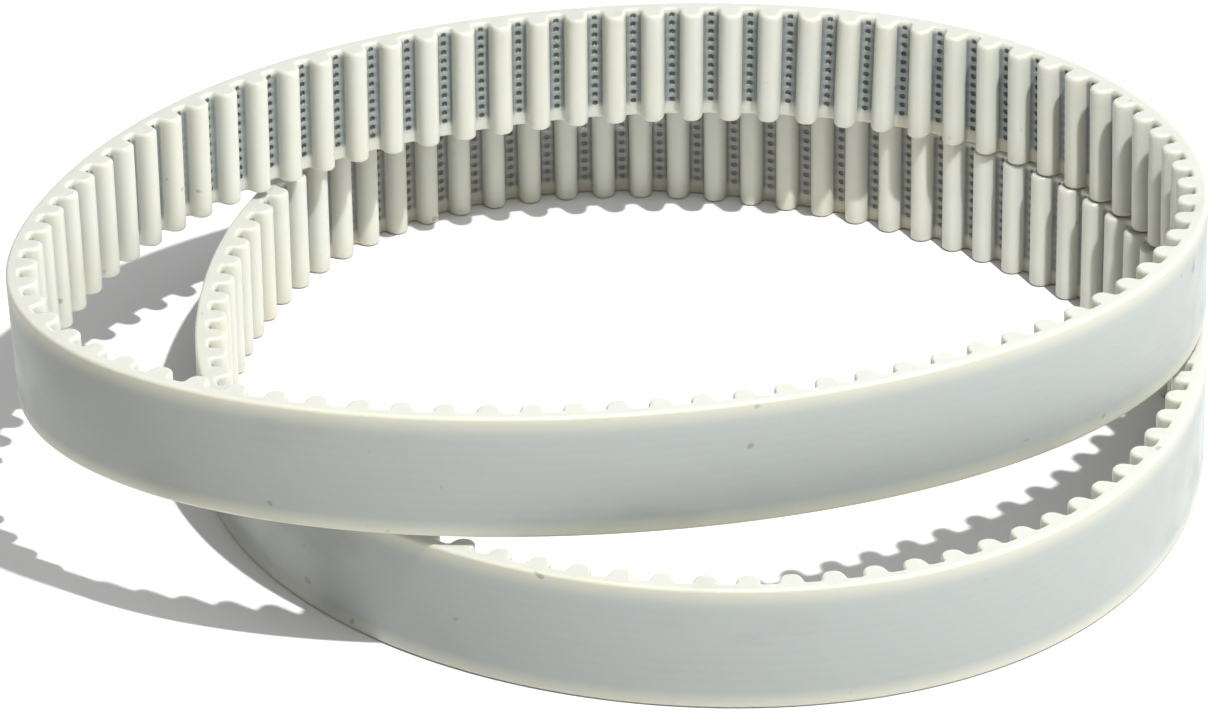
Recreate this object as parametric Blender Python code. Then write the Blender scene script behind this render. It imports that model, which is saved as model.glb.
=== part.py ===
"""Two endless timing belts, one lying on the other.

Both are the same belt: a polyurethane body with round teeth on its inside and eleven steel
cords moulded into its web. The lower one stands on its edge and keeps an egg shape. The upper
one lies across it, turned and a little tilted, with its left end reaching out past the lower.

Metres, +Z up. The origin is on the floor, under the middle of the stack.
"""

import bisect
import math

import bmesh
import bpy
from mathutils import Vector

MM = 0.001

# The belt: 80 teeth at 8 mm pitch, 25 mm wide
PITCH = 8 * MM
TOOTH_COUNT = 80
WIDTH = 25 * MM
THICKNESS = 6 * MM
WEB = 2.6 * MM                 # from the back to the land between two teeth
TOOTH_HALF_WIDTH = 2.4 * MM    # at the root
TOOTH_ROUNDNESS = 2.4          # exponent of the tooth's outline: 2 is an ellipse
TOOTH_STEPS = 6                # flat faces around one tooth

# The steel cords
CORD_COUNT = 11
CORD_DIAMETER = 0.8 * MM
CORD_SPACING = 2 * MM
CORD_DEPTH = 1.85 * MM         # from the back to the middle of a cord
FIRST_CORD = 3.6 * MM          # from the bottom edge to the first cord
CORD_STATIONS = 60
CORD_CLEARANCE = 0.05 * MM     # between a cord and the body around it
CORD_END_GAP = 1 * MM          # between the two ends of a cord, at the weld

# The winding-nose notches at the weld, which open the cord space to the air
NOTCH_WIDTH = 0.6 * MM
NOTCH_HEIGHT = 1 * MM

# Each loop is drawn on the floor by its centre and four waves, in millimetres: wave k adds
# x_cos cos(k a) + x_sin sin(k a) to x, and y_cos cos(k a) + y_sin sin(k a) to y. The first
# wave is an oval, the second makes it an egg, and the others tighten and flatten its bends.
# Warp lifts the edge by waves in the same way, and lean tips the belt's width outwards.
LOWER_LOOP = {
    "name": "lower",
    "centre": (19.3, -34.1),
    "waves": (
        (102.9, -2.9, -1.1, 103.1),
        (-1.9, 1.9, 2.6, -0.6),
        (-4.4, -0.5, 3.7, -4.0),
        (1.6, -2.0, 2.3, 2.4),
    ),
    "rise": 0.0,
    "slope": (0.0, 0.0),
    "warp": (),
    "lean": (0.0,),
    "first_land": 145.4 * MM,
}
UPPER_LOOP = {
    "name": "upper",
    "centre": (3.0, -27.9),
    "waves": (
        (110.5, 21.9, -1.4, 92.0),
        (0.5, -13.8, 5.0, 3.9),
        (1.2, -3.0, 0.6, 2.5),
        (3.3, 2.6, -1.9, 2.2),
    ),
    "rise": 26.70,                 # height of the bottom edge over the loop's origin
    "slope": (-0.006, 0.0),        # of the loop's plane, along x and y
    "warp": ((2, -0.4, -0.1), (3, 0.2, -0.4)),
    "lean": (-0.014, -0.025, -0.036, 0.023, 0.013),
    "first_land": 136.5 * MM,
}
ANGLE_STEPS = 1440

POLYURETHANE = ((0.86, 0.87, 0.80), 0.38, 0.0)
STEEL = ((0.30, 0.31, 0.31), 0.35, 1.0)


def clear_scene():
    for obj in list(bpy.data.objects):
        bpy.data.objects.remove(obj, do_unlink=True)


def material(name, colour, roughness, metallic):
    made = bpy.data.materials.new(name)
    made.use_nodes = True
    shader = made.node_tree.nodes["Principled BSDF"]
    shader.inputs["Base Color"].default_value = (*colour, 1.0)
    shader.inputs["Roughness"].default_value = roughness
    shader.inputs["Metallic"].default_value = metallic
    return made


class Belt:
    """Where a belt's back, cords and teeth lie, by the distance along its pitch line."""

    def __init__(self, loop, shift=Vector((0.0, 0.0, 0.0))):
        self.loop = loop
        self.shift = shift
        self.scale = 1.0
        for _ in range(4):
            self._measure()
            self.scale *= TOOTH_COUNT * PITCH / self.length
        self._measure()

    def _measure(self):
        """The distance along the pitch line at evenly spaced angles."""
        angles = [2 * math.pi * i / ANGLE_STEPS for i in range(ANGLE_STEPS + 1)]
        points = []
        for angle in angles:
            foot, _, inward = self.frame(angle)
            points.append(foot + inward * CORD_DEPTH)
        distances = [0.0]
        for before, after in zip(points, points[1:]):
            distances.append(distances[-1] + (after - before).length)
        self.angles = angles
        self.distances = distances
        self.length = distances[-1]

    def edge(self, angle):
        """The back's bottom edge at one angle."""
        loop = self.loop
        x = y = 0.0
        for k, (x_cos, x_sin, y_cos, y_sin) in enumerate(loop["waves"], 1):
            x += x_cos * math.cos(k * angle) + x_sin * math.sin(k * angle)
            y += y_cos * math.cos(k * angle) + y_sin * math.sin(k * angle)
        x = loop["centre"][0] + x * self.scale
        y = loop["centre"][1] + y * self.scale
        z = loop["rise"] + loop["slope"][0] * x + loop["slope"][1] * y
        for k, z_cos, z_sin in loop["warp"]:
            z += z_cos * math.cos(k * angle) + z_sin * math.sin(k * angle)
        return Vector((x, y, z)) * MM + self.shift

    def frame(self, angle):
        """The bottom edge of the back, the way across the belt, and the way to its teeth."""
        step = 2 * math.pi / ANGLE_STEPS
        along = (self.edge(angle + step) - self.edge(angle - step)).normalized()
        slope_x, slope_y = self.loop["slope"]
        plane = Vector((-slope_x, -slope_y, 1.0)).normalized()
        outward = along.cross(plane).normalized()
        lean = self.loop["lean"][0]
        for k in range(1, (len(self.loop["lean"]) + 1) // 2):
            lean += self.loop["lean"][2 * k - 1] * math.cos(k * angle)
            lean += self.loop["lean"][2 * k] * math.sin(k * angle)
        across = plane + outward * lean
        across = (across - along * across.dot(along)).normalized()
        return self.edge(angle), across, across.cross(along)

    def angle_at(self, distance):
        """The angle at a distance along the pitch line, counted from the first land."""
        distance = (distance + self.loop["first_land"]) % self.length
        i = min(bisect.bisect_right(self.distances, distance), ANGLE_STEPS)
        share = (distance - self.distances[i - 1]) / (self.distances[i] - self.distances[i - 1])
        return self.angles[i - 1] + share * (self.angles[i] - self.angles[i - 1])

    def point(self, distance, depth, height):
        """A point by its distance along the belt, its depth from the back and its height
        above the bottom edge, measured across the belt."""
        foot, across, inward = self.frame(self.angle_at(distance))
        return foot + inward * depth + across * height


def tooth_outline():
    """(distance from the tooth's middle, depth from the back) around one tooth."""
    outline = []
    power = 2 / TOOTH_ROUNDNESS
    for i in range(TOOTH_STEPS + 1):
        turn = math.pi * (1 - i / TOOTH_STEPS)
        side = math.copysign(abs(math.cos(turn)) ** power, math.cos(turn))
        rise = abs(math.sin(turn)) ** power
        outline.append((TOOTH_HALF_WIDTH * side, WEB + (THICKNESS - WEB) * rise))
    return outline


def object_from(name, mesh, finish, collection):
    data = bpy.data.meshes.new(name)
    bmesh.ops.recalc_face_normals(mesh, faces=mesh.faces)
    mesh.to_mesh(data)
    mesh.free()
    data.materials.append(finish)
    made = bpy.data.objects.new(name, data)
    collection.objects.link(made)
    return made


def closed_ring(mesh, sections):
    """Joins closed sections, one after the other, and the last to the first."""
    for i, section in enumerate(sections):
        following = sections[(i + 1) % len(sections)]
        for j in range(len(section)):
            k = (j + 1) % len(section)
            mesh.faces.new((section[j], section[k], following[k], following[j]))


def belt_body(belt, finish, collection):
    """The polyurethane: back, teeth and the two flat edges, as one closed skin."""
    mesh = bmesh.new()
    outline = tooth_outline()
    rings = []
    for tooth in range(TOOTH_COUNT):
        middle = (tooth + 0.5) * PITCH
        start = middle + outline[0][0]
        for height in (0.0, WIDTH):
            back = mesh.verts.new(belt.point(start, 0.0, height))
            front = [mesh.verts.new(belt.point(middle + u, d, height)) for u, d in outline]
            rings.append((back, front))
    lower, upper = rings[0::2], rings[1::2]
    for tooth in range(TOOTH_COUNT):
        after = (tooth + 1) % TOOTH_COUNT
        back_low, front_low = lower[tooth]
        back_high, front_high = upper[tooth]
        next_low, next_high = lower[after], upper[after]
        mesh.faces.new((back_low, back_high, next_high[0], next_low[0]))
        row_low = front_low + [next_low[1][0]]
        row_high = front_high + [next_high[1][0]]
        for i in range(len(row_low) - 1):
            mesh.faces.new((row_low[i], row_low[i + 1], row_high[i + 1], row_high[i]))
        mesh.faces.new([back_low, next_low[0]] + row_low[::-1])
        mesh.faces.new([next_high[0], back_high] + row_high)
    body = object_from(belt.loop["name"] + "_belt_body", mesh, finish, collection)
    body.data.shade_smooth()
    body.data.set_sharp_from_angle(angle=math.radians(40))
    return body


def section_at(mesh, belt, distance, depths, heights):
    """A rectangle across the belt between two depths and two heights."""
    corners = ((depths[0], heights[0]), (depths[1], heights[0]),
               (depths[1], heights[1]), (depths[0], heights[1]))
    return [mesh.verts.new(belt.point(distance, d, h)) for d, h in corners]


def cord_space_cutter(belt, finish, collection):
    """The flat ring-shaped room that the cords lie in."""
    reach = CORD_DIAMETER / 2 + CORD_CLEARANCE
    depths = (CORD_DEPTH - reach, CORD_DEPTH + reach)
    heights = (FIRST_CORD - reach, FIRST_CORD + (CORD_COUNT - 1) * CORD_SPACING + reach)
    mesh = bmesh.new()
    sections = []
    for i in range(CORD_STATIONS):
        distance = i * belt.length / CORD_STATIONS
        sections.append(section_at(mesh, belt, distance, depths, heights))
    closed_ring(mesh, sections)
    return object_from(belt.loop["name"] + "_cord_space", mesh, finish, collection)


def notch_cutter(belt, finish, collection):
    """One small box for each cord, from the cord space out through the land at the weld."""
    mesh = bmesh.new()
    depths = (CORD_DEPTH, WEB + 0.5 * MM)
    for cord in range(CORD_COUNT):
        middle = FIRST_CORD + cord * CORD_SPACING
        heights = (middle - NOTCH_HEIGHT / 2, middle + NOTCH_HEIGHT / 2)
        near = section_at(mesh, belt, -NOTCH_WIDTH / 2, depths, heights)
        far = section_at(mesh, belt, NOTCH_WIDTH / 2, depths, heights)
        for j in range(4):
            k = (j + 1) % 4
            mesh.faces.new((near[j], near[k], far[k], far[j]))
        mesh.faces.new(near)
        mesh.faces.new(far[::-1])
    return object_from(belt.loop["name"] + "_notches", mesh, finish, collection)


def cut(body, cutter):
    cutter.hide_render = True
    cutter.display_type = "WIRE"
    modifier = body.modifiers.new(cutter.name, "BOOLEAN")
    modifier.operation = "DIFFERENCE"
    modifier.object = cutter


def cord(belt, index, finish, collection):
    """One steel cord: a strand round the whole belt, open at the weld."""
    height = FIRST_CORD + index * CORD_SPACING
    radius = CORD_DIAMETER / 2
    step = belt.length / CORD_STATIONS
    distances = [CORD_END_GAP / 2]
    distances += [i * step for i in range(1, CORD_STATIONS)]
    distances += [belt.length - CORD_END_GAP / 2]
    mesh = bmesh.new()
    sections = []
    for distance in distances:
        foot, across, inward = belt.frame(belt.angle_at(distance))
        middle = foot + inward * CORD_DEPTH + across * height
        ways = (inward, across, -inward, -across)
        sections.append([mesh.verts.new(middle + way * radius) for way in ways])
    for before, after in zip(sections, sections[1:]):
        for j in range(4):
            k = (j + 1) % 4
            mesh.faces.new((before[j], before[k], after[k], after[j]))
    mesh.faces.new(sections[0])
    mesh.faces.new(sections[-1][::-1])
    name = f"{belt.loop['name']}_belt_cord_{index + 1:02d}"
    made = object_from(name, mesh, finish, collection)
    made.data.shade_smooth()
    return made


def footprint_centre(belts):
    """The middle of the box round both belts, on the floor."""
    low, high = Vector((1.0, 1.0)), Vector((-1.0, -1.0))
    for belt in belts:
        for tooth in range(TOOTH_COUNT):
            start = (tooth + 0.5) * PITCH + tooth_outline()[0][0]
            for height in (0.0, WIDTH):
                point = belt.point(start, 0.0, height)
                for axis in (0, 1):
                    low[axis] = min(low[axis], point[axis])
                    high[axis] = max(high[axis], point[axis])
    middle = (low + high) / 2
    return Vector((middle.x, middle.y, 0.0))


def build():
    clear_scene()
    collection = bpy.context.scene.collection
    shift = -footprint_centre([Belt(LOWER_LOOP), Belt(UPPER_LOOP)])
    for loop in (LOWER_LOOP, UPPER_LOOP):
        belt = Belt(loop, shift)
        white = material(loop["name"] + "_polyurethane", *POLYURETHANE)
        steel = material(loop["name"] + "_steel_cord", *STEEL)
        body = belt_body(belt, white, collection)
        cut(body, cord_space_cutter(belt, steel, collection))
        cut(body, notch_cutter(belt, steel, collection))
        for index in range(CORD_COUNT):
            cord(belt, index, steel, collection)


build()
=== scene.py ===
"""The looks of two endless timing belts, one lying across the other.

Each CAD body is replaced by a fine skin of the same belt, with round teeth, rounded edges and
the small pits that the winding nose leaves in every land, and each CAD cord by a round wire
strand. Both follow the same loops as the CAD model. Metres, +Z up.
"""

import math

import bpy
import numpy as np
from mathutils import Euler, Matrix, Vector


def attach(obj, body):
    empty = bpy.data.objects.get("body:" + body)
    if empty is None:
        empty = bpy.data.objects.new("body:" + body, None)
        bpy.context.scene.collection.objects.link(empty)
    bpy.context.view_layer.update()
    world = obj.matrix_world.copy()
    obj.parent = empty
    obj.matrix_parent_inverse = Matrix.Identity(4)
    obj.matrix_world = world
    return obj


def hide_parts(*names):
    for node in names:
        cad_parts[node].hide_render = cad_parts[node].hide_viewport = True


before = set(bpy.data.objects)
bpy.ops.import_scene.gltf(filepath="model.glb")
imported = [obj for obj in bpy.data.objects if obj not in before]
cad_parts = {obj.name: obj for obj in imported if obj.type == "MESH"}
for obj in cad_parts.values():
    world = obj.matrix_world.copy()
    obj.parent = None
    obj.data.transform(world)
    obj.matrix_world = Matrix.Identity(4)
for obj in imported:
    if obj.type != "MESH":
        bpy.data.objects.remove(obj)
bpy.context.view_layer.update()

MM = 0.001

# The belt, as in the CAD model
PITCH = 8 * MM
TOOTH_COUNT = 80
WIDTH = 25 * MM
THICKNESS = 6 * MM
WEB = 2.6 * MM                 # from the back to the land between two teeth
TOOTH_HALF_WIDTH = 2.4 * MM    # above the fillet
TOOTH_ROUNDNESS = 2.4          # the power of the tooth's arch: 2 is half an ellipse
CORD_COUNT = 11
CORD_DIAMETER = 0.8 * MM
CORD_SPACING = 2 * MM
CORD_DEPTH = 1.85 * MM
FIRST_CORD = 3.6 * MM
LAST_CORD = FIRST_CORD + (CORD_COUNT - 1) * CORD_SPACING
CORD_END_GAP = 1 * MM

# The fine surface
FILLET = 0.6 * MM              # where a tooth meets the land
EDGE_RADIUS = 0.65 * MM
FILLET_STEPS = 4
TOOTH_STEPS = 24
BACK_STEPS = 8                 # for each pitch
EDGE_STEPS = 5
TOP_CELL_END = 0.68 * MM       # from the last cord to the end of its cell
PIT_SIDES = 16
PIT_RINGS = (                  # radius and depth from the back, from the rim to the floor
    (0.62 * MM, WEB),
    (0.53 * MM, WEB - 0.05 * MM),
    (0.47 * MM, WEB - 0.30 * MM),
)
STRAND_STATIONS = 320
STRAND_SIDES = 8

# Each loop is drawn by the bottom edge of its back, in millimetres from one point of the floor.
#   waves: the cosine and sine shares of X and then of Y, for one to four turns of the angle
#   rise, slope, warp: the edge's height, its slope along X and Y, and its (turns, cosine, sine)
#   lean: the wall's outward slope, its mean and then its cosine and sine shares
#   first_land: how far along the pitch line the middle of the first land lies, in metres
LOWER_LOOP = {
    "name": "lower",
    "centre": (19.3, -34.1),
    "waves": (
        (102.9, -2.9, -1.1, 103.1),
        (-1.9, 1.9, 2.6, -0.6),
        (-4.4, -0.5, 3.7, -4.0),
        (1.6, -2.0, 2.3, 2.4),
    ),
    "rise": 0.0,
    "slope": (0.0, 0.0),
    "warp": (),
    "lean": (0.0,),
    "first_land": 145.4 * MM,
}
UPPER_LOOP = {
    "name": "upper",
    "centre": (3.0, -27.9),
    "waves": (
        (110.5, 21.9, -1.4, 92.0),
        (0.5, -13.8, 5.0, 3.9),
        (1.2, -3.0, 0.6, 2.5),
        (3.3, 2.6, -1.9, 2.2),
    ),
    "rise": 26.70,
    "slope": (-0.006, 0.0),
    "warp": ((2, -0.4, -0.1), (3, 0.2, -0.4)),
    "lean": (-0.014, -0.025, -0.036, 0.023, 0.013),
    "first_land": 136.5 * MM,
}
ANGLE_STEPS = 1440
SCALE_ROUNDS = 4               # of fitting the loop's size to its length

# The camera looks along +Y, at the point of the floor that the loops are drawn from
CAMERA_ELEVATION = math.radians(27.91)
CAMERA_DISTANCE = 1.3715
CAMERA_ROLL = math.radians(-0.754)
CAMERA_LENS = 201.73
CAMERA_SENSOR = 36.0
CAMERA_NEAREST = 0.05
CAMERA_OFFSET = (0.95 * MM, -1.2 * MM)   # to the right and up, in the picture plane

# One small bright key light at the right, in front and above
KEY_PLACE = (0.275, -0.375, 0.919)       # from the same point of the floor
KEY_POWER = 58.0
KEY_RADIUS = 0.013
SKY_STRENGTH = 0.68
SKY_LEAN = (0.96, -0.15, 0.0)            # which way the sky is brighter, and by how much
FLOOR_ALBEDO = 0.70
FLOOR_GAP = 0.1 * MM                     # below the lower belt
FLOOR_HALF = 3.0


class Belt:
    """Where a belt's back, cords and teeth lie, by the distance along its pitch line."""

    def __init__(self, loop, shift=(0.0, 0.0, 0.0)):
        self.loop = loop
        self.shift = np.array(shift)
        self.scale = 1.0
        for _ in range(SCALE_ROUNDS):
            self._measure()
            self.scale *= TOOTH_COUNT * PITCH / self.length
        self._measure()

    def _measure(self):
        """The distance along the pitch line at evenly spaced angles."""
        self.angles = np.linspace(0.0, 2 * math.pi, ANGLE_STEPS + 1)
        foot, _, inward = self.frame(self.angles)
        steps = np.linalg.norm(np.diff(foot + inward * CORD_DEPTH, axis=0), axis=1)
        self.distances = np.concatenate(([0.0], np.cumsum(steps)))
        self.length = self.distances[-1]

    def edge(self, angle):
        """The back's bottom edge at each angle."""
        loop = self.loop
        x = np.zeros_like(angle)
        y = np.zeros_like(angle)
        for k, (x_cos, x_sin, y_cos, y_sin) in enumerate(loop["waves"], 1):
            x += x_cos * np.cos(k * angle) + x_sin * np.sin(k * angle)
            y += y_cos * np.cos(k * angle) + y_sin * np.sin(k * angle)
        x = loop["centre"][0] + x * self.scale
        y = loop["centre"][1] + y * self.scale
        z = loop["rise"] + loop["slope"][0] * x + loop["slope"][1] * y
        for k, z_cos, z_sin in loop["warp"]:
            z += z_cos * np.cos(k * angle) + z_sin * np.sin(k * angle)
        return np.stack((x, y, z), axis=-1) * MM + self.shift

    def frame(self, angle):
        """The bottom edge of the back, the way across the belt, and the way to its teeth."""
        step = 2 * math.pi / ANGLE_STEPS
        along = unit(self.edge(angle + step) - self.edge(angle - step))
        slope_x, slope_y = self.loop["slope"]
        plane = unit(np.array((-slope_x, -slope_y, 1.0)))
        outward = unit(np.cross(along, plane))
        lean = np.full_like(angle, self.loop["lean"][0])
        for k in range(1, (len(self.loop["lean"]) + 1) // 2):
            lean += self.loop["lean"][2 * k - 1] * np.cos(k * angle)
            lean += self.loop["lean"][2 * k] * np.sin(k * angle)
        across = plane + outward * lean[:, None]
        across = unit(across - along * np.sum(across * along, axis=1, keepdims=True))
        return self.edge(angle), across, np.cross(across, along)

    def points(self, distance, depth, height):
        """Points by their distance along the belt, depth from the back and height above
        the bottom edge, measured across the belt."""
        along = (np.asarray(distance) + self.loop["first_land"]) % self.length
        foot, across, inward = self.frame(np.interp(along, self.distances, self.angles))
        return foot + inward * np.asarray(depth)[:, None] + across * np.asarray(height)[:, None]


def unit(vectors):
    return vectors / np.linalg.norm(vectors, axis=-1, keepdims=True)


def footprint_centre(belts):
    """The middle of the box round both belts, on the floor, as in the CAD model."""
    starts = (np.arange(TOOTH_COUNT) + 0.5) * PITCH - TOOTH_HALF_WIDTH
    backs = np.zeros(TOOTH_COUNT)
    corners = [belt.points(starts, backs, backs + h) for belt in belts for h in (0.0, WIDTH)]
    corners = np.concatenate(corners)[:, :2]
    middle = (corners.min(axis=0) + corners.max(axis=0)) / 2
    return np.array((middle[0], middle[1], 0.0))


def tooth_outline():
    """(distance from the tooth's middle, depth) from one fillet's foot to the other's."""
    tall = THICKNESS - WEB
    power = 2 / TOOTH_ROUNDNESS
    first = math.asin((FILLET / tall) ** (1 / power))
    left = []
    for i in range(FILLET_STEPS):
        turn = i / FILLET_STEPS * math.pi / 2
        foot = TOOTH_HALF_WIDTH + FILLET * (1 - math.sin(turn))
        left.append((-foot, WEB + FILLET * (1 - math.cos(turn))))
    for i in range(TOOTH_STEPS // 2 + 1):
        turn = first + (math.pi / 2 - first) * i / (TOOTH_STEPS // 2)
        side = max(math.cos(turn), 0.0) ** power
        left.append((-TOOTH_HALF_WIDTH * side, WEB + tall * math.sin(turn) ** power))
    left[-1] = (0.0, THICKNESS)
    return np.array(left + [(-u, d) for u, d in left[-2::-1]])


def outline_normals(outline):
    """The way out of the material at each point of the tooth's outline."""
    before = np.vstack((outline[0] - (PITCH, 0), outline[:-1]))
    after = np.vstack((outline[1:], outline[-1] + (PITCH, 0)))
    along = unit(unit(outline - before) + unit(after - outline))
    return np.stack((-along[:, 1], along[:, 0]), axis=-1)


def edge_rows():
    """(height, how far the surface draws back) for the rounding at the bottom edge."""
    turns = [i / EDGE_STEPS * math.pi / 2 for i in range(EDGE_STEPS + 1)]
    return [(EDGE_RADIUS * (1 - math.cos(t)), EDGE_RADIUS * (1 - math.sin(t))) for t in turns]


def new_mesh(name, points, faces, finish):
    data = bpy.data.meshes.new(name)
    data.from_pydata(points, [], faces)
    data.materials.append(finish)
    return data


def new_object(name, data):
    made = bpy.data.objects.new(name, data)
    bpy.context.scene.collection.objects.link(made)
    return made


class Skin:
    """Gathers a belt's points, with where each lies in the belt, and its faces."""

    def __init__(self, belt):
        self.belt = belt
        self.places = []           # (distance, depth, height, is in a pit)
        self.faces = []
        self.flat_faces = set()

    def add(self, distance, depth, height, pit=0.0):
        self.places.append((distance, depth, height, pit))
        return len(self.places) - 1

    def face(self, corners, flat=False):
        if flat:
            self.flat_faces.add(len(self.faces))
        self.faces.append(corners)

    def object(self, name, finish):
        distance, depth, height, pit = np.array(self.places).T
        points = self.belt.points(distance, depth, height)
        data = new_mesh(name, points.tolist(), self.faces, finish)
        data.shade_smooth()
        for i in self.flat_faces:
            data.polygons[i].use_smooth = False
        from_land = np.abs((distance + PITCH / 2) % PITCH - PITCH / 2)
        for field, values in (("depth", depth), ("height", height),
                              ("from_land", from_land), ("pit", pit)):
            attribute = data.attributes.new(field, "FLOAT", "POINT")
            attribute.data.foreach_set("value", values.astype(np.float32))
        return new_object(name, data)


def toothed_rows():
    """(height, draw-back) of every row across the toothed side."""
    low = edge_rows()
    cells = [(FIRST_CORD + (i - 0.5) * CORD_SPACING, 0.0) for i in range(CORD_COUNT)]
    cells.append((LAST_CORD + TOP_CELL_END, 0.0))
    high = [(WIDTH - height, back) for height, back in reversed(low)]
    return low + cells + high


def back_rows():
    """(height, draw-back) of every row across the back."""
    low = edge_rows()
    return low + [(WIDTH - height, back) for height, back in reversed(low)]


def belt_skin(belt, finish):
    """The polyurethane's whole surface: teeth, lands with their pits, back and edges."""
    skin = Skin(belt)
    outline = tooth_outline()
    normals = outline_normals(outline)
    front_rows, rear_rows = toothed_rows(), back_rows()
    fronts, rears = [], []
    for tooth in range(TOOTH_COUNT):
        middle = (tooth + 0.5) * PITCH
        fronts.append([[skin.add(middle + u - n_u * back, d - n_d * back, height)
                        for (u, d), (n_u, n_d) in zip(outline, normals)]
                       for height, back in front_rows])
        start = middle + outline[0][0]
        rears.append([[skin.add(start + i * PITCH / BACK_STEPS, back, height)
                       for i in range(BACK_STEPS)]
                      for height, back in rear_rows])
    first_cell = EDGE_STEPS + 1    # the first row with a pit in its lands
    for tooth in range(TOOTH_COUNT):
        front, rear = fronts[tooth], rears[tooth]
        next_front = fronts[(tooth + 1) % TOOTH_COUNT]
        next_rear = rears[(tooth + 1) % TOOTH_COUNT]
        for row in range(len(front) - 1):
            strip(skin, front[row], front[row + 1])
            ends = (front[row][-1], next_front[row][0], next_front[row + 1][0],
                    front[row + 1][-1])
            if first_cell <= row < first_cell + CORD_COUNT:
                land_pit(skin, (tooth + 1) * PITCH, row - first_cell, ends)
            else:
                skin.face(ends)
        for row in range(len(rear) - 1):
            low = rear[row] + [next_rear[row][0]]
            high = rear[row + 1] + [next_rear[row + 1][0]]
            strip(skin, high, low)
        skin.face(rear[0] + [next_rear[0][0], next_front[0][0]] + front[0][::-1], flat=True)
        skin.face(front[-1] + [next_front[-1][0], next_rear[-1][0]] + rear[-1][::-1],
                  flat=True)
    return skin.object(belt.loop["name"] + "_belt_polyurethane", finish)


def strip(skin, low, high):
    """Quads between two rows of points."""
    for i in range(len(low) - 1):
        skin.face((low[i], low[i + 1], high[i + 1], high[i]))


def land_pit(skin, land, cord, corners):
    """One cell of a land, with the winding nose's pit in its middle. Corners run from the
    low left one to the right, and then back along the top."""
    height = FIRST_CORD + cord * CORD_SPACING
    rings = []
    for number, (radius, depth) in enumerate(PIT_RINGS):
        ring = []
        for side in range(PIT_SIDES):
            turn = 2 * math.pi * side / PIT_SIDES - 3 * math.pi / 4
            ring.append(skin.add(land + radius * math.cos(turn), depth,
                                 height + radius * math.sin(turn), float(number > 0)))
        rings.append(ring)
    quarter = PIT_SIDES // 4
    rim = rings[0] + rings[0][:1]
    for i in range(4):
        arc = rim[i * quarter:(i + 1) * quarter + 1]
        skin.face([corners[i], corners[(i + 1) % 4]] + arc[::-1])
    for outer, inner in zip(rings, rings[1:]):
        for i in range(PIT_SIDES):
            j = (i + 1) % PIT_SIDES
            skin.face((outer[i], outer[j], inner[j], inner[i]))
    skin.face(rings[-1], flat=True)


def cord_strand(belt, index, finish):
    """One steel cord: a round strand round the whole belt, open at the weld. Its UV map holds
    the distance along the belt and the share of a turn round the strand."""
    distances = np.linspace(CORD_END_GAP / 2, belt.length - CORD_END_GAP / 2, STRAND_STATIONS)
    middle = FIRST_CORD + index * CORD_SPACING
    lines = []
    for side in range(STRAND_SIDES):
        turn = 2 * math.pi * side / STRAND_SIDES
        depth = CORD_DEPTH + CORD_DIAMETER / 2 * math.cos(turn)
        height = middle + CORD_DIAMETER / 2 * math.sin(turn)
        lines.append(belt.points(distances, np.full(STRAND_STATIONS, depth),
                                 np.full(STRAND_STATIONS, height)))
    points = np.stack(lines, axis=1).reshape(-1, 3)
    faces, lays = [], []
    for station in range(STRAND_STATIONS - 1):
        near, far = station * STRAND_SIDES, (station + 1) * STRAND_SIDES
        start, end = distances[station], distances[station + 1]
        for side in range(STRAND_SIDES):
            following = (side + 1) % STRAND_SIDES
            faces.append((near + side, far + side, far + following, near + following))
            low, high = side / STRAND_SIDES, (side + 1) / STRAND_SIDES
            lays += [(start, low), (end, low), (end, high), (start, high)]
    last = len(points) - 1
    for ring in (range(STRAND_SIDES), range(last, last - STRAND_SIDES, -1)):
        faces.append(tuple(ring))
        lays += [(0.0, 0.0)] * STRAND_SIDES
    name = f"{belt.loop['name']}_belt_strand_{index + 1:02d}"
    data = new_mesh(name, points, faces, finish)
    data.shade_smooth()
    data.uv_layers.new(name="lay").data.foreach_set("uv", np.array(lays).ravel())
    return new_object(name, data)


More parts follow.
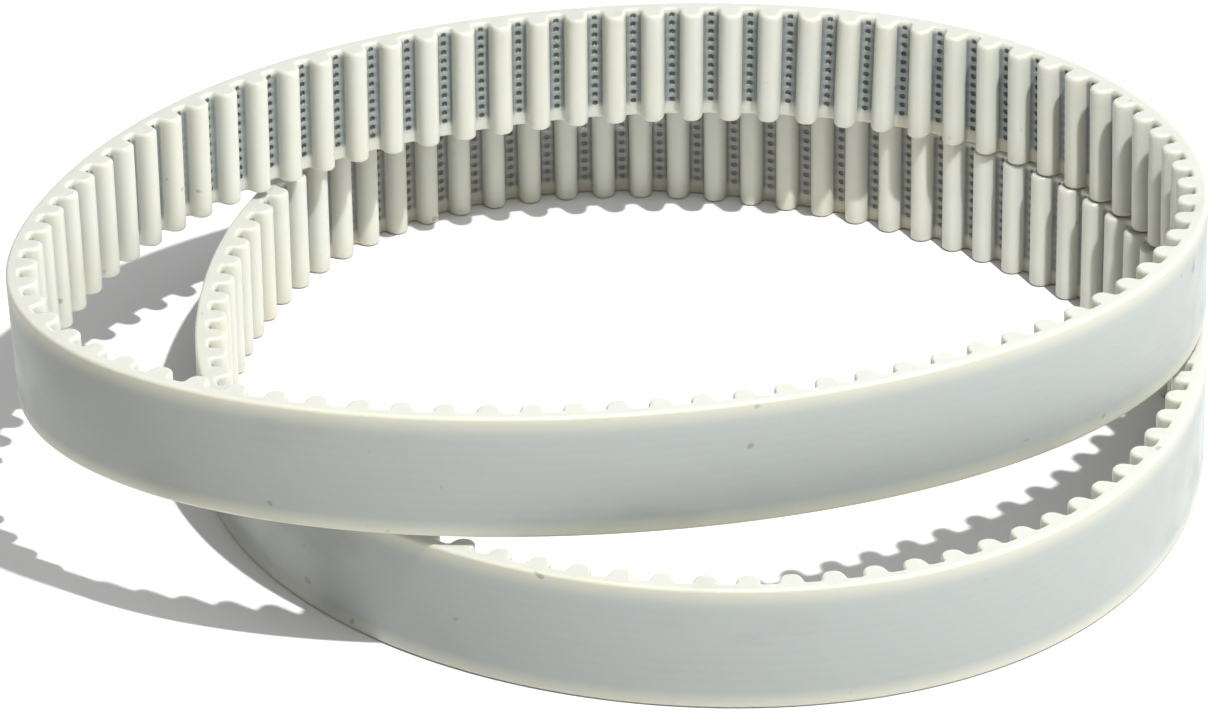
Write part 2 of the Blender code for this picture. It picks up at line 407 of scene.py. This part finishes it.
class Graph:
    """Short calls for a material's nodes. Each returns the node's output socket."""

    def __init__(self, name):
        self.material = bpy.data.materials.new(name)
        self.material.use_nodes = True
        self.tree = self.material.node_tree
        self.shader = self.tree.nodes["Principled BSDF"]

    def node(self, kind, **settings):
        made = self.tree.nodes.new(kind)
        for key, value in settings.items():
            setattr(made, key, value)
        return made

    def put(self, socket, value):
        if isinstance(value, bpy.types.NodeSocket):
            self.tree.links.new(value, socket)
        else:
            socket.default_value = value

    def field(self, name):
        return self.node("ShaderNodeAttribute", attribute_name=name).outputs["Fac"]

    def place(self):
        return self.node("ShaderNodeTexCoord").outputs["Object"]

    def math(self, operation, *values):
        made = self.node("ShaderNodeMath", operation=operation)
        for socket, value in zip(made.inputs, values):
            self.put(socket, value)
        return made.outputs[0]

    def ramp(self, value, low, high, start=0.0, end=1.0):
        """Goes smoothly from start to end while the value goes from low to high."""
        made = self.node("ShaderNodeMapRange", interpolation_type="SMOOTHSTEP")
        for socket, number in zip(made.inputs, (value, low, high, start, end)):
            self.put(socket, number)
        return made.outputs[0]

    def noise(self, scale, detail, stretch=None):
        made = self.node("ShaderNodeTexNoise")
        place = self.place()
        if stretch:
            mapping = self.node("ShaderNodeMapping")
            self.put(mapping.inputs["Vector"], place)
            mapping.inputs["Scale"].default_value = stretch
            place = mapping.outputs[0]
        self.put(made.inputs["Vector"], place)
        made.inputs["Scale"].default_value = scale
        made.inputs["Detail"].default_value = detail
        return made.outputs["Fac"]

    def blend(self, share, first, second):
        """The first colour, going to the second as the share goes from 0 to 1."""
        made = self.node("ShaderNodeMix", data_type="RGBA")
        colours = [s for s in made.inputs if s.type == "RGBA"]
        self.put(made.inputs[0], share)
        for socket, colour in zip(colours, (first, second)):
            self.put(socket, colour if isinstance(colour, bpy.types.NodeSocket)
                     else (*colour, 1.0))
        return [s for s in made.outputs if s.type == "RGBA"][0]

    def bump(self, height, distance, strength):
        made = self.node("ShaderNodeBump")
        made.inputs["Distance"].default_value = distance
        made.inputs["Strength"].default_value = strength
        self.put(made.inputs["Height"], height)
        return made.outputs[0]


# Polyurethane, seen as it is and with the steel cords showing through it, and the colours of
# the painted shade on it
CREAM = (0.554, 0.564, 0.508)
CREAM_YELLOW = (0.548, 0.542, 0.450)      # in soft patches
TOP_EDGE_SHADE = (0.450, 0.458, 0.415)          # painted shade along the top edge, which faces the key light
BACK_MARGIN = (0.470, 0.470, 0.395)       # beside the first and the last cord
BACK_OVER_CORDS = (0.322, 0.344, 0.331)   # in streaks
BACK_BETWEEN_CORDS = (0.334, 0.357, 0.344)
BACK_LEFT_SHADE = (0.270, 0.276, 0.232)         # painted shade at the left end, which faces away from the key light
# The cords' dark steel in the pits, deepened with painted shade
PIT_STEEL_AND_SHADE = (0.062, 0.068, 0.064)
# Painted warm shade at the foot of the toothed side, where a belt rests on the other belt or on
# the floor
FOOT_SHADE = (0.38, 0.32, 0.20)
DIRT = (0.16, 0.14, 0.11)

# What shows in each belt's lands, with the painted shade along the sides of their strips, how
# dark their pits are, and how much painted shade darkens the foot of the toothed side at the
# left and at the right
UPPER_LANDS = {
    "between_cords": (0.285, 0.305, 0.29),
    "over_cords": (0.19, 0.21, 0.20),
    "root_shade_colour": (0.17, 0.19, 0.18),
    "pit_share": 0.95,
    "foot_shade_left": 0.05,
    "foot_shade_right": 0.60,
}
LOWER_LANDS = {
    "between_cords": (0.31, 0.31, 0.27),
    "over_cords": (0.19, 0.19, 0.165),
    "root_shade_colour": (0.17, 0.17, 0.145),
    "pit_share": 0.40,
    "foot_shade_left": 0.6,
    "foot_shade_right": 0.4,
}

# Where each tint comes or goes: between two places in X, two heights from the bottom edge, two
# depths from the back, or two distances from the middle of a land
FOOT_SHADE_X = (30 * MM, 90 * MM)
FOOT_SHADE_HEIGHT = (0.5 * MM, 6.0 * MM)
FOOT_SHADE_COMES_DEPTH = (WEB - 0.6 * MM, WEB - 0.1 * MM)
FOOT_SHADE_GOES_DEPTH = (WEB + 0.2 * MM, WEB + 1.8 * MM)
TOP_EDGE_SHADE_HEIGHT = (WIDTH - 0.75 * MM, WIDTH - 0.25 * MM)
BACK_DEPTH = (0.1 * MM, 0.6 * MM)
GREY_COMES_HEIGHT = (0.6 * MM, 3.8 * MM)
GREY_GOES_HEIGHT = (WIDTH - 4.6 * MM, WIDTH - 0.4 * MM)
LEFT_SHADE_X = (-115 * MM, 15 * MM)
INSIDE_DEPTH = (0.9 * MM, 1.4 * MM)
LAND_DEPTH = (WEB + 0.15 * MM, WEB + 0.75 * MM)
LAND_COMES_HEIGHT = (FIRST_CORD - 1.6 * MM, FIRST_CORD + 0.4 * MM)
LAND_GOES_HEIGHT = (LAST_CORD - 0.5 * MM, LAST_CORD + 0.7 * MM)
ROOT_SHADE_SIDE = (0.75 * MM, 1.15 * MM)
SPOT_SIDE = (0.40 * MM, 0.85 * MM)

# Each noise's fineness and detail, how it is stretched, and from where to where it counts
PATCH_NOISE = (35.0, 3.0)
PATCH_RANGE = (0.42, 0.72)
STREAK_NOISE = (60.0, 4.0)
STREAK_STRETCH = (0.25, 0.25, 3.0)
UNEVEN_NOISE = (260.0, 3.0)
UNEVEN_RANGE = (0.3, 0.7)
SMUDGE_NOISE = (22.0, 5.0)
SMUDGE_STRETCH = (1.0, 1.0, 2.5)
SMUDGE_RANGE = (0.60, 0.76)
SPECK_NOISE = (230.0, 1.0)
SPECK_RANGE = (0.755, 0.79)
GLOSS_NOISE = (90.0, 3.0)
GLOSS_RANGE = (0.3, 0.7)
GRAIN_NOISE = (700.0, 3.0)
SPOT_RANGE = (0.30, 0.85)      # of the wave that is 1 over a cord and 0 between two

# How much of each tint shows at most
PATCH_SHARE = 0.5
TOOTH_FOOT_SHADE_SHARE = 0.3
LEFT_SHADE_SHARE = 0.55
ROOT_SHADE_SHARE = 0.8
SPOT_SHARE = 0.75
UNEVEN_SHARE = 0.35
SMUDGE_SHARE = 0.22
SPECK_SHARE = 0.5

# The plastic's surface, and how far light runs below it
ROUGHNESS = (0.30, 0.45)
GRAIN_HEIGHT = 0.05 * MM
GRAIN_STRENGTH = 0.25
PLASTIC_IOR = 1.5
GLOW_WEIGHT = 0.8
GLOW_COLOURS = (1.0, 0.9, 0.6)
GLOW_DEPTH = 2.4 * MM

# The cords' steel
WIRE_HOLLOW = (0.05, 0.05, 0.05)
WIRE_RIDGE = (0.20, 0.21, 0.21)
WIRES_ROUND = 6
LAY_LENGTH = 5 * MM
RIDGE_HEIGHT = 0.06 * MM
RIDGE_STRENGTH = 0.8


def polyurethane(name, lands):
    """White plastic, with the cords showing through its back and in its lands."""
    graph = Graph(name)
    height, depth = graph.field("height"), graph.field("depth")
    place = graph.node("ShaderNodeSeparateXYZ")
    graph.put(place.inputs[0], graph.place())
    x = place.outputs["X"]
    wave = graph.math("MULTIPLY", height, 2 * math.pi / CORD_SPACING)
    wave = graph.math("SUBTRACT", wave, 2 * math.pi * FIRST_CORD / CORD_SPACING)
    over_cord = graph.math("MULTIPLY_ADD", graph.math("COSINE", wave), 0.5, 0.5)

    colour = plastic_colour(graph, height, depth, x, lands)
    colour = back_colour(graph, colour, height, depth, x, over_cord)
    colour = land_colour(graph, colour, height, depth, over_cord, lands)
    colour = handling_marks(graph, colour)
    graph.put(graph.shader.inputs["Base Color"], colour)
    graph.put(graph.shader.inputs["Roughness"],
              graph.ramp(graph.noise(*GLOSS_NOISE), *GLOSS_RANGE, *ROUGHNESS))
    graph.put(graph.shader.inputs["Normal"],
              graph.bump(graph.noise(*GRAIN_NOISE), GRAIN_HEIGHT, GRAIN_STRENGTH))
    graph.shader.inputs["IOR"].default_value = PLASTIC_IOR
    graph.shader.inputs["Subsurface Weight"].default_value = GLOW_WEIGHT
    graph.shader.inputs["Subsurface Radius"].default_value = GLOW_COLOURS
    graph.shader.inputs["Subsurface Scale"].default_value = GLOW_DEPTH
    return graph.material


def plastic_colour(graph, height, depth, x, lands):
    """The plastic itself: warm white, with painted warm shade at the foot of its toothed side
    and painted shade along its top edge.
    """
    patches = graph.ramp(graph.noise(*PATCH_NOISE), *PATCH_RANGE)
    colour = graph.blend(graph.math("MULTIPLY", patches, PATCH_SHARE), CREAM, CREAM_YELLOW)
    # Painted warm shade at the foot of the toothed side, strongest on the lands and near the
    # bottom edge
    foot_shade_share = graph.ramp(x, *FOOT_SHADE_X, lands["foot_shade_left"], lands["foot_shade_right"])
    low = graph.ramp(height, *FOOT_SHADE_HEIGHT, 1.0, 0.0)
    toothed = graph.math("MULTIPLY", graph.ramp(depth, *FOOT_SHADE_COMES_DEPTH),
                         graph.ramp(depth, *FOOT_SHADE_GOES_DEPTH, 1.0, TOOTH_FOOT_SHADE_SHARE))
    foot_shade_share = graph.math("MULTIPLY", foot_shade_share, graph.math("MULTIPLY", low, toothed))
    colour = graph.blend(foot_shade_share, colour, FOOT_SHADE)
    # Painted shade along the top edge, to dim the face that the key light falls on
    return graph.blend(graph.ramp(height, *TOP_EDGE_SHADE_HEIGHT), colour, TOP_EDGE_SHADE)


def back_colour(graph, colour, height, depth, x, over_cord):
    """Cords far below the back give it a soft grey, which goes out at its margins, with painted
    shade darkening it towards the left end.
    """
    comes = graph.ramp(height, *GREY_COMES_HEIGHT)
    goes = graph.ramp(height, *GREY_GOES_HEIGHT, 1.0, 0.0)
    on_back = graph.ramp(depth, *BACK_DEPTH, 1.0, 0.0)
    colour = graph.blend(on_back, colour, BACK_MARGIN)
    share = graph.math("MULTIPLY", graph.math("MULTIPLY", comes, goes), on_back)
    streaks = graph.noise(*STREAK_NOISE, STREAK_STRETCH)
    tone = graph.blend(graph.math("MULTIPLY", over_cord, streaks), BACK_BETWEEN_CORDS,
                       BACK_OVER_CORDS)
    # Painted shade on the back's grey, strongest at the left end, which faces away from the key
    # light
    tone = graph.blend(graph.ramp(x, *LEFT_SHADE_X, LEFT_SHADE_SHARE, 0.0), tone, BACK_LEFT_SHADE)
    return graph.blend(share, colour, tone)


def land_colour(graph, colour, height, depth, over_cord, lands):
    """Cords just below the lands, with painted shade along both sides of the strip where it
    meets the teeth, and in the pits the cords' dark steel with painted shade.
    """
    comes = graph.ramp(height, *LAND_COMES_HEIGHT)
    goes = graph.ramp(height, *LAND_GOES_HEIGHT, 1.0, 0.0)
    on_land = graph.ramp(depth, *LAND_DEPTH, 1.0, 0.0)
    inside = graph.ramp(depth, *INSIDE_DEPTH)
    share = graph.math("MULTIPLY", comes, goes)
    share = graph.math("MULTIPLY", share, graph.math("MULTIPLY", on_land, inside))
    tone = graph.blend(over_cord, lands["between_cords"], lands["over_cords"])
    from_land = graph.field("from_land")
    # Painted shade along both sides of the strip, in the corner where the land meets the teeth
    at_root_shade = graph.ramp(from_land, *ROOT_SHADE_SIDE, 0.0, ROOT_SHADE_SHARE)
    tone = graph.blend(at_root_shade, tone, lands["root_shade_colour"])
    spot = graph.math("MULTIPLY", graph.ramp(over_cord, *SPOT_RANGE),
                      graph.ramp(from_land, *SPOT_SIDE, 1.0, 0.0))
    spot = graph.math("MULTIPLY", spot, SPOT_SHARE * lands["pit_share"])
    tone = graph.blend(spot, tone, PIT_STEEL_AND_SHADE)
    uneven = graph.ramp(graph.noise(*UNEVEN_NOISE), *UNEVEN_RANGE, 0.0, UNEVEN_SHARE)
    tone = graph.blend(uneven, tone, lands["between_cords"])
    colour = graph.blend(share, colour, tone)
    # The pit floors get the cords' dark steel, deepened with painted shade
    in_pit = graph.math("MULTIPLY", graph.field("pit"),
                        graph.math("MULTIPLY", goes, lands["pit_share"]))
    return graph.blend(in_pit, colour, PIT_STEEL_AND_SHADE)


def handling_marks(graph, colour):
    """Broad faint smudges and a few small specks."""
    smudges = graph.ramp(graph.noise(*SMUDGE_NOISE, SMUDGE_STRETCH), *SMUDGE_RANGE)
    colour = graph.blend(graph.math("MULTIPLY", smudges, SMUDGE_SHARE), colour, DIRT)
    specks = graph.ramp(graph.noise(*SPECK_NOISE), *SPECK_RANGE)
    return graph.blend(graph.math("MULTIPLY", specks, SPECK_SHARE), colour, DIRT)


def wire_steel():
    """Dark strand wire, with its lay as slanting ridges."""
    graph = Graph("wire_steel")
    uv = graph.node("ShaderNodeSeparateXYZ")
    graph.put(uv.inputs[0], graph.node("ShaderNodeUVMap", uv_map="lay").outputs[0])
    lay = graph.math("MULTIPLY", uv.outputs[0], 2 * math.pi * WIRES_ROUND / LAY_LENGTH)
    turn = graph.math("MULTIPLY", uv.outputs[1], 2 * math.pi * WIRES_ROUND)
    ridge = graph.math("COSINE", graph.math("ADD", lay, turn))
    ridge = graph.math("MULTIPLY_ADD", ridge, 0.5, 0.5)
    graph.put(graph.shader.inputs["Base Color"], graph.blend(ridge, WIRE_HOLLOW, WIRE_RIDGE))
    graph.put(graph.shader.inputs["Normal"], graph.bump(ridge, RIDGE_HEIGHT, RIDGE_STRENGTH))
    graph.shader.inputs["Metallic"].default_value = 0.9
    graph.shader.inputs["Roughness"].default_value = 0.45
    return graph.material


def add_floor():
    """A plain pale sheet under the lower belt."""
    graph = Graph("floor_paper")
    graph.shader.inputs["Base Color"].default_value = (*[FLOOR_ALBEDO] * 3, 1.0)
    graph.shader.inputs["Roughness"].default_value = 0.9
    graph.shader.inputs["Specular IOR Level"].default_value = 0.1
    square = ((-1, -1), (1, -1), (1, 1), (-1, 1))
    corners = [(x * FLOOR_HALF, y * FLOOR_HALF, -FLOOR_GAP) for x, y in square]
    data = new_mesh("floor", corners, [(0, 1, 2, 3)], graph.material)
    new_object("floor", data)


def add_camera(target):
    """Looks along +Y and down at the target, a little rolled, as in the photograph."""
    data = bpy.data.cameras.new("camera")
    data.sensor_width = CAMERA_SENSOR
    data.lens = CAMERA_LENS
    data.clip_start = CAMERA_NEAREST
    camera = new_object("camera", data)
    turn = Euler((math.pi / 2 - CAMERA_ELEVATION, 0.0, 0.0)).to_matrix().to_4x4()
    place = turn @ Vector((*CAMERA_OFFSET, CAMERA_DISTANCE))
    camera.matrix_world = (Matrix.Translation(target + place) @ turn
                           @ Matrix.Rotation(CAMERA_ROLL, 4, "Z"))
    bpy.context.scene.camera = camera


def add_key_light(target):
    data = bpy.data.lights.new("key", "POINT")
    data.energy = KEY_POWER
    data.shadow_soft_size = KEY_RADIUS
    new_object("key", data).location = target + Vector(KEY_PLACE)


def add_sky():
    """White light from all round, brighter on the side that it leans to."""
    world = bpy.data.worlds.new("sky")
    world.use_nodes = True
    nodes, links = world.node_tree.nodes, world.node_tree.links
    sky = nodes["Background"]
    sky.inputs["Color"].default_value = (1.0, 1.0, 1.0, 1.0)
    towards = nodes.new("ShaderNodeVectorMath")
    towards.operation = "DOT_PRODUCT"
    towards.inputs[1].default_value = SKY_LEAN
    strength = nodes.new("ShaderNodeMath")
    strength.operation = "MULTIPLY_ADD"
    strength.inputs[1].default_value = SKY_STRENGTH
    strength.inputs[2].default_value = SKY_STRENGTH
    links.new(nodes.new("ShaderNodeTexCoord").outputs["Generated"], towards.inputs[0])
    links.new(towards.outputs["Value"], strength.inputs[0])
    links.new(strength.outputs[0], sky.inputs["Strength"])
    bpy.context.scene.world = world
    bpy.context.scene.view_settings.view_transform = "Standard"


def add_belts(shift):
    """Both belts: the skin rides on its body, and so does each strand."""
    steel = wire_steel()
    for loop, lands in ((LOWER_LOOP, LOWER_LANDS), (UPPER_LOOP, UPPER_LANDS)):
        belt = Belt(loop, shift)
        body = loop["name"] + "_belt"
        skin = belt_skin(belt, polyurethane(body + "_polyurethane", lands))
        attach(skin, body)
        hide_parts(body + "_body")
        for index in range(CORD_COUNT):
            strand = cord_strand(belt, index, steel)
            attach(strand, body)
            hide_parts(f"{body}_cord_{index + 1:02d}")


shift = -footprint_centre([Belt(LOWER_LOOP), Belt(UPPER_LOOP)])
add_camera(Vector(shift))
add_belts(shift)
add_floor()
add_key_light(Vector(shift))
add_sky()
